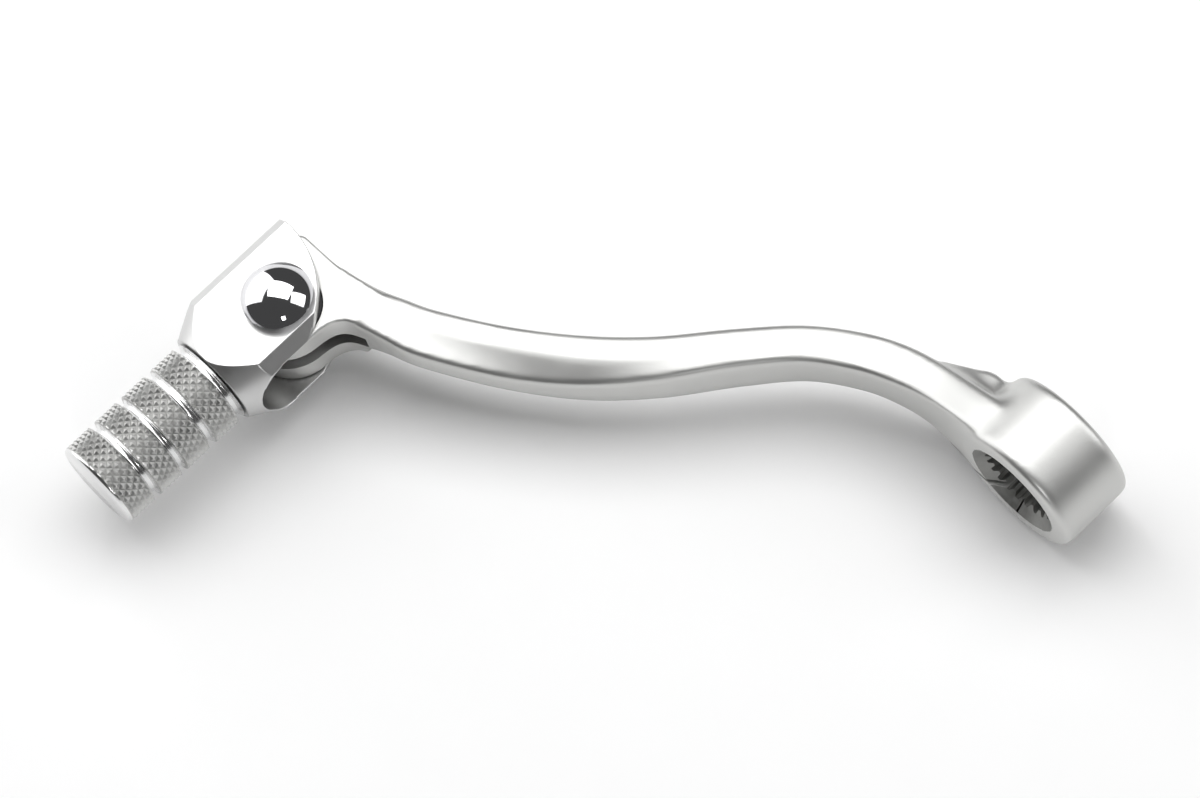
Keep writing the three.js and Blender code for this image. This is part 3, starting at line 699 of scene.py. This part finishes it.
def peg_profile(station):
    """Radius of the plain turned peg, and how much of the knurl shows, at a station along it."""
    for low, high in PEG_BANDS:
        if low <= station <= high:
            edge = min(station - low, high - station)
            return PEG_RADIUS, min(1.0, edge / 0.25)
    if station > PEG_BANDS[-1][1]:
        drop = (station - PEG_BANDS[-1][1]) / (PEG_LENGTH - PEG_BANDS[-1][1])
        return PEG_RADIUS - 0.1 - 0.9 * (1 - math.sqrt(max(0.0, 1 - drop ** 2))), 0.0
    low = max((b[1] for b in PEG_BANDS if b[1] < station), default=PEG_GAP)
    high = min(b[0] for b in PEG_BANDS if b[0] > station)
    middle = (low + high) / 2
    half = (high - low) / 2
    share = abs(station - middle) / half
    return PEG_GROOVE + (PEG_RADIUS - 0.25 - PEG_GROOVE) * share ** 4, 0.0


def build_peg():
    """Diamond knurl as real pyramids, on a grid whose diagonals run along the ridges."""
    base = PIVOT[1] + KNUCKLE_OUTER_END
    around = KNURL_STARTS * KNURL_DIVISIONS
    step = 2 * math.pi * PEG_RADIUS / around
    rows = int(round((PEG_LENGTH - PEG_GAP) / step))
    points, faces = [], []
    for i in range(rows + 1):
        station = PEG_GAP + (PEG_LENGTH - PEG_GAP) * i / rows
        radius, share = peg_profile(station)
        for k in range(around):
            one = ((k + i) / KNURL_DIVISIONS) % 1
            two = ((k - i) / KNURL_DIVISIONS) % 1
            ridge = min(1 - abs(2 * one - 1), 1 - abs(2 * two - 1))
            r = radius - KNURL_DEPTH * share * (1 - min(1.0, ridge / 0.9))
            angle = 2 * math.pi * k / around
            points.append((r * math.cos(angle), station, r * math.sin(angle)))
    for i in range(rows):
        for k in range(around):
            n = (k + 1) % around
            a, b, c, d = i * around + k, i * around + n, (i + 1) * around + n, (i + 1) * around + k
            if (k + i) % 2:
                faces += [(a, b, c), (a, c, d)]
            else:
                faces += [(a, b, d), (b, c, d)]
    for row in (0, rows):
        ring = [row * around + k for k in range(around)]
        station = PEG_GAP if row == 0 else PEG_LENGTH
        points.append((0, station, 0))
        hub = len(points) - 1
        faces += [(ring[k], ring[(k + 1) % around], hub) for k in range(around)]
    points = np.array(points) + np.array((PEG_CENTRE[0], base, 0))
    peg = add_piece("peg", points, faces)
    cut(peg, rod(2.6, -1, 14, "y", (PEG_CENTRE[0], base, 0), 64))
    finish_piece(peg, "knurled_peg", "tip", "toe_peg", KNURLED, 24)
    peg.data.materials.append(TURNED)
    for face in peg.data.polygons:
        station = face.center.y / MM - base
        if not any(low - 0.05 <= station <= high + 0.05 for low, high in PEG_BANDS):
            face.material_index = 1


# ---- Pivot and fasteners -------------------------------------------------

def build_pin():
    """Domed pin: a shallow part of a ball on an undercut rim."""
    x, y = PIVOT
    seat = 8.1
    head = 5.7
    undercut = 1.0
    rim = 1.4
    rise = 3.1
    low = -7.8
    ball = (head ** 2 + rise ** 2) / (2 * rise)
    steepest = math.asin(head / ball)
    top = seat + rim + rise
    profile = [(0, 1.0), (2.15, 0.2), (2.15, low), (3.5, low), (3.5, seat), (head - undercut, seat)]
    profile += [(head - 0.12, seat + rim - 0.14), (head - 0.03, seat + rim - 0.06)]
    for t in np.linspace(steepest, 0, 33):
        profile.append((ball * math.sin(t) if t else 0, top - ball * (1 - math.cos(t))))
    pin = turned("pin", profile, "z", (x, y, 0), 160)
    finish_piece(pin, "domed_pin", "tip", "pivot_pin", CHROME, 40)


def ring_piece(node, name, body, material, axis="z", inner=None, edge=0.15):
    """A washer, bush, seal or sleeve of its CAD node's outer size, with broken edges."""
    low, high = (np.array(c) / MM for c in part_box(node))
    middle = (low + high) / 2
    along = 2 if axis == "z" else 1
    outer = (high[0] - low[0]) / 2
    half = (high[along] - low[along]) / 2
    loop = [(inner, -half), (outer, -half), (outer, half), (inner, half)]
    closed = fillet([loop[-1], *loop, loop[0]], edge, 4)[1:-1]
    piece = turned(name, closed, axis, middle, 128)
    return finish_piece(piece, name, body, node, material, 40)


def hexagon(x, y, radius):
    return arc(x, y, radius, 0, 300, 5)


def build_clamp_bolt():
    low, high = (np.array(c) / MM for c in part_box("pinch_bolt"))
    x, y = CLAMP
    seat = -10.1
    corner = 4.62
    head = prism("head", hexagon(x, y, corner), low[2], seat)
    outer = corner + 0.1
    bottom = low[2]
    broken = [(0, bottom), (3.9, bottom), (outer, bottom + 0.42), (outer, seat - 0.3), (4.2, seat), (0, seat)]
    combine(head, turned("chamfer", broken, "z", (x, y, 0), 128), "INTERSECT")
    dish = [(0, bottom - 1), (2.6, bottom - 1), (2.6, bottom + 0.1), (2.3, bottom + 0.4), (0, bottom + 0.4)]
    cut(head, turned("dish", dish, "z", (x, y, 0), 96))
    thread = [(0, seat - 1)]
    level = seat - 0.8
    while level < high[2] - 1.0:
        thread += [(2.98, level), (2.98, level + 0.12), (2.45, level + 0.5), (2.98, level + 0.88)]
        level += 1.0
    thread += [(2.3, high[2]), (0, high[2])]
    shank = turned("shank", thread, "z", (x, y, 0), 96)
    combine(head, shank, "UNION")
    finish_piece(head, "hex_pinch_bolt", "arm", "pinch_bolt", PLATED)


def build_pivot_screw():
    x, y = PIVOT
    seat = -8.9
    dome = [(0, seat - 2.2), (1.9, seat - 2.18)]
    for t in np.linspace(0.25, math.pi / 2, 14):
        dome.append((1.9 + 2.7 * math.sin(t), seat - 0.5 - 1.68 * math.cos(t)))
    profile = dome + [(4.6, seat - 0.1), (4.5, seat), (2.0, seat), (2.0, -1.2), (0, -1.2)]
    screw = turned("screw", profile, "z", (x, y, 0), 128)
    cut(screw, prism("socket", hexagon(x, y, 1.73), seat - 4, seat - 0.5))
    finish_piece(screw, "button_screw", "tip", "pivot_screw", PLATED)


def build_peg_screw():
    low, high = (np.array(c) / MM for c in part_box("peg_screw"))
    offset = PIVOT[1]
    start = low[1] - offset
    seat = start + 2.2
    profile = fillet([(0, start), (3.9, start), (3.9, seat), (2.5, seat), (2.5, high[1] - offset),
                      (0, high[1] - offset)], 0.35)
    screw = turned("screw", profile, "y", PEG_CENTRE, 128)
    socket = prism("socket", hexagon(PEG_CENTRE[0], 0, 1.73), low[1] - 2, low[1] + 1.5, "y")
    cut(screw, socket)
    finish_piece(screw, "cap_screw", "tip", "peg_screw", PLATED)


def build_spring():
    """Round-wire torsion spring: a coil with a straight leg at each end."""
    x, y = PIVOT
    radius, wire, rise = 5.3, 0.45, 1.05
    start, end = math.radians(-66), math.radians(708)
    turns = np.linspace(0, 1, 180)
    angle = start + (end - start) * turns
    coil = np.stack([x + radius * np.cos(angle), y + radius * np.sin(angle), rise * (2 * turns - 1)], 1)
    leg_in = np.array([math.sin(start), -math.cos(start), 0])
    leg_out = np.array([-math.sin(end), math.cos(end), 0])
    lead = [coil[0] + leg_in * d for d in np.linspace(8.4, 0.6, 14)]
    tail = [coil[-1] + leg_out * d for d in np.linspace(0.6, 9.0, 14)]
    route = np.array(lead + list(coil) + tail)
    along = np.gradient(route, axis=0)
    along /= np.linalg.norm(along, axis=1)[:, None]
    sides = 20
    points, faces = [], []
    for place, forward in zip(route, along):
        across = np.cross(forward, (0, 0, 1))
        across /= np.linalg.norm(across)
        upward = np.cross(across, forward)
        for k in range(sides):
            t = 2 * math.pi * k / sides
            points.append(place + wire * (math.cos(t) * across + math.sin(t) * upward))
    for i in range(len(route) - 1):
        for k in range(sides):
            n = (k + 1) % sides
            faces.append((i * sides + k, i * sides + n, (i + 1) * sides + n, (i + 1) * sides + k))
    faces.append(tuple(range(sides)))
    faces.append(tuple(range(len(points) - sides, len(points))))
    spring = add_piece("spring", points, faces)
    finish_piece(spring, "coiled_spring", None, "torsion_spring", SPRING, 50)
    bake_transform(spring)


build_arm()
build_knuckle()
build_peg()
build_pin()
build_clamp_bolt()
build_pivot_screw()
build_peg_screw()
build_spring()
ring_piece("pinch_bolt_washer", "clamp_washer", "arm", PLATED, inner=3.25)
ring_piece("upper_pivot_bush", "bush_above", "arm", BRONZE, inner=3.6)
ring_piece("lower_pivot_bush", "bush_below", "arm", BRONZE, inner=3.6)
ring_piece("upper_dust_seal", "seal_above", "arm", RUBBER, inner=4.9, edge=0.4)
ring_piece("lower_dust_seal", "seal_below", "arm", RUBBER, inner=4.9, edge=0.4)
ring_piece("spring_sleeve", "sleeve", "tip", PLATED, inner=3.6)
ring_piece("pivot_screw_washer", "thin_washer", "tip", PLATED, inner=2.3)
ring_piece("peg_screw_washer", "lock_washer", "tip", PLATED, axis="y", inner=2.65)


# ---- Stage ---------------------------------------------------------------

def add_floor():
    half = 3.0
    corners = [(-half, -half, FLOOR_Z), (half, -half, FLOOR_Z), (half, half, FLOOR_Z), (-half, half, FLOOR_Z)]
    table = add_piece("table", np.array(corners) / MM, [(0, 1, 2, 3)])
    table.data.materials.append(floor_material())


VIEW_TARGET = Vector((0.05097, 0.04126, 0.0142))
VIEW_FROM = Vector((-0.400, 0.185, 0.898)).normalized()
VIEW_UP = Vector((0.6132, -0.6740, 0.4120))
VIEW_DISTANCE = 0.95
SENSOR_WIDTH = 36.0
FRAME_WIDTH_AT_TARGET = 0.18


def view_axes():
    up = (VIEW_UP - VIEW_UP.dot(VIEW_FROM) * VIEW_FROM).normalized()
    right = up.cross(VIEW_FROM)
    return right, up


def add_camera():
    right, up = view_axes()
    data = bpy.data.cameras.new("camera")
    data.sensor_width = SENSOR_WIDTH
    data.lens = SENSOR_WIDTH * VIEW_DISTANCE / FRAME_WIDTH_AT_TARGET
    data.clip_start = 0.01
    data.clip_end = 50
    camera = bpy.data.objects.new("camera", data)
    bpy.context.scene.collection.objects.link(camera)
    place = Matrix((right, up, VIEW_FROM)).transposed().to_4x4()
    place.translation = VIEW_TARGET + VIEW_FROM * VIEW_DISTANCE
    camera.matrix_world = place
    bpy.context.scene.camera = camera


def add_panel(name, direction, distance, size, power, target=VIEW_TARGET):
    """A soft rectangular light that looks at the lever."""
    data = bpy.data.lights.new(name, "AREA")
    data.shape = "RECTANGLE"
    data.size = size[0]
    data.size_y = size[1]
    data.energy = power
    light = bpy.data.objects.new(name, data)
    bpy.context.scene.collection.objects.link(light)
    aim = Vector(direction).normalized()
    light.location = target + aim * distance
    light.rotation_euler = aim.to_track_quat("Z", "Y").to_euler()
    return light


def ball_direction(across, upwards):
    """Where a light has to stand to show at this spot of a mirrored ball, seen by the camera."""
    right, up = view_axes()
    normal = across * right + upwards * up + math.sqrt(1 - across ** 2 - upwards ** 2) * VIEW_FROM
    return 2 * normal.dot(VIEW_FROM) * normal - VIEW_FROM


def add_lights():
    right, _ = view_axes()
    flat_right = Vector((right.x, right.y, 0)).normalized()
    sky = Vector((0, 0, 1))
    tip = Vector(HINGE)
    add_panel("key_panel", ball_direction(-0.55, 0.4), 0.5, (0.65, 0.65), 2.3, tip)
    add_panel("top_panel", ball_direction(-0.04, 0.37), 0.72, (0.8, 0.6), 4.5)
    add_panel("side_panel", flat_right * 1.0 + sky * 0.7, 0.8, (0.45, 0.6), 1.8)
    add_panel("front_lamp", ball_direction(0.05, -0.3), 0.9, (0.14, 0.16), 0.8)


def add_world():
    world = bpy.data.worlds.new("studio")
    world.use_nodes = True
    tree = world.node_tree
    back = tree.nodes["Background"]
    back.inputs["Color"].default_value = (1, 1, 1, 1)
    back.inputs["Strength"].default_value = 0.07
    bpy.context.scene.world = world


add_floor()
add_camera()
add_lights()
add_world()
bpy.context.scene.view_settings.view_transform = "Standard"
